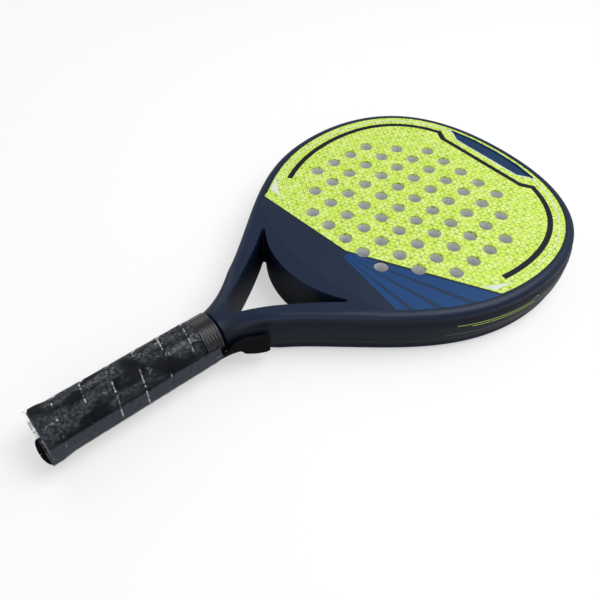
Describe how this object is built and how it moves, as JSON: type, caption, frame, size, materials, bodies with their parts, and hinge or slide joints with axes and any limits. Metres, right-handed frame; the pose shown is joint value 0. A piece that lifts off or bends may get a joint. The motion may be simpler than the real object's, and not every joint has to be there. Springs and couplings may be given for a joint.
{
  "type": "padel racket",
  "caption": "Short solid-faced racket with a perforated foam-cored head, an open throat and a wrapped handle with a wrist strap.",
  "frame": {"origin": "centre of the footprint, on the plane that the back face rests on", "axes": "+X from the butt to the head's tip, +Y across the head, +Z from the back face to the front face"},
  "size_m": [0.4664, 0.2584, 0.038],
  "materials": {
    "navy_paint": "satin navy lacquer over fibre laminate",
    "lime_print": "lacquered lime print on fibre laminate",
    "grey_foam": "matt closed-cell foam",
    "grip_under": "matt base grip",
    "grip_black": "satin polyurethane grip tape",
    "tape_black": "satin vinyl tape",
    "rubber_black": "ribbed rubber",
    "cap_black": "moulded plastic",
    "black_webbing": "woven webbing",
    "clear_film": "clear shrink film"
  },
  "bodies": {
    "root": {"frame": "navy_paint", "throat_bridge": "navy_paint", "foam_core": "grey_foam", "face_front": "lime_print", "face_back": "lime_print", "handle_core": "grey_foam", "base_grip": "grip_under", "overgrip": "grip_black", "finishing_tape": "tape_black", "grip_collar": "rubber_black", "butt_cap": "cap_black", "strap_anchor": "cap_black", "wrist_strap": "black_webbing", "shrink_film": "clear_film"}
  },
  "joints": []
}
